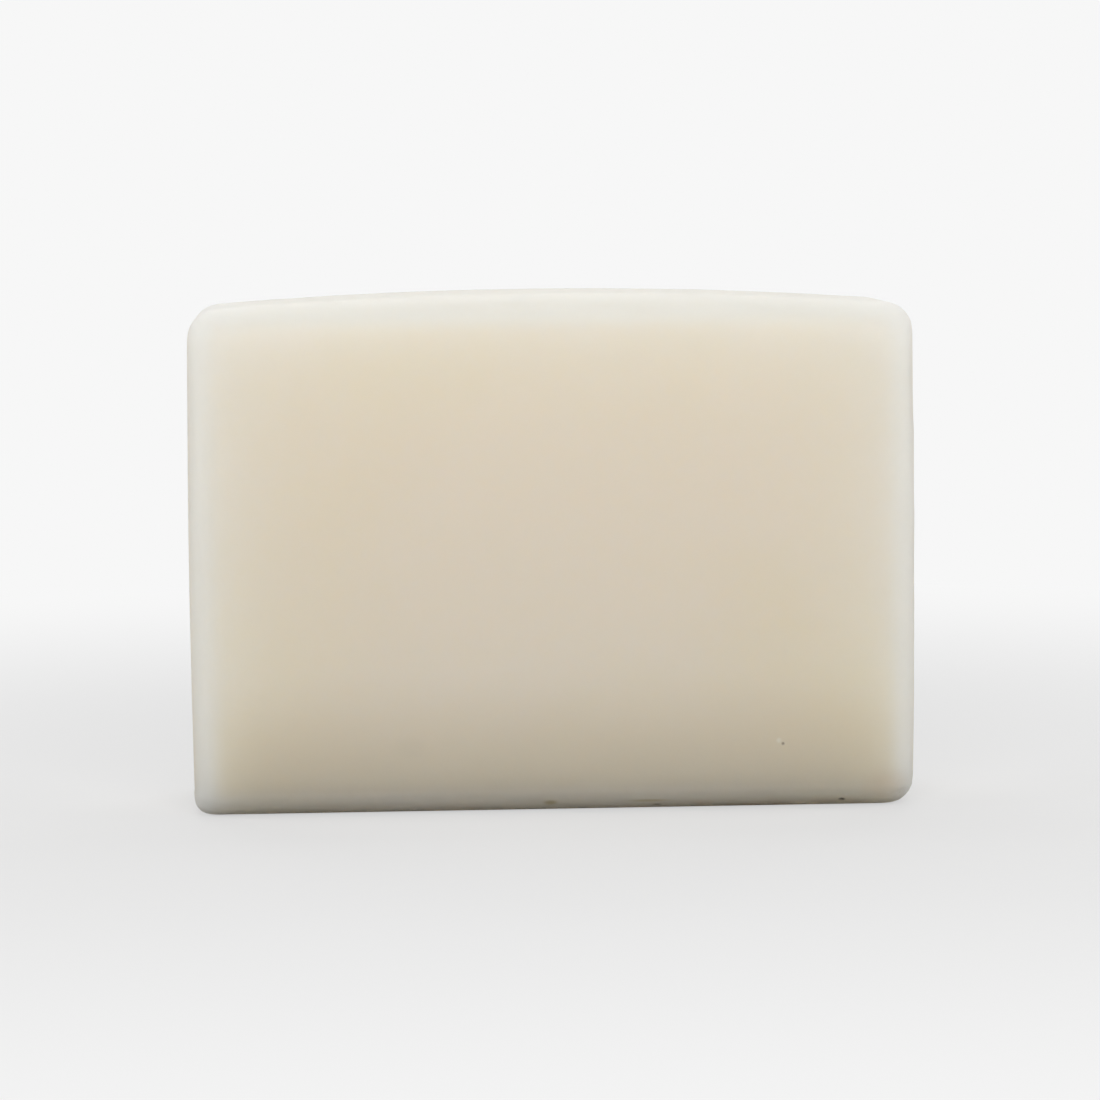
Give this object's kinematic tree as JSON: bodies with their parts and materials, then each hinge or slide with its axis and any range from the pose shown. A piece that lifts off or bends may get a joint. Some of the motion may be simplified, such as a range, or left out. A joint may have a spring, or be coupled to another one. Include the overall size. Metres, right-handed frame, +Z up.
{
  "type": "bar of soap",
  "caption": "Plain rectangular bar of soap with a gently crowned top side and rounded edges, standing on its long narrow side.",
  "frame": {"origin": "on the surface that the bar stands on, under its middle", "axes": "+X along the bar's length, +Y through its thickness from the front face to the back face, +Z up from the flat foot to the crowned top side"},
  "size_m": [0.08, 0.025, 0.057],
  "materials": {
    "soap": "smooth satin ivory soap, slightly translucent"
  },
  "bodies": {
    "root": {"soap_bar": "soap"}
  },
  "joints": []
}
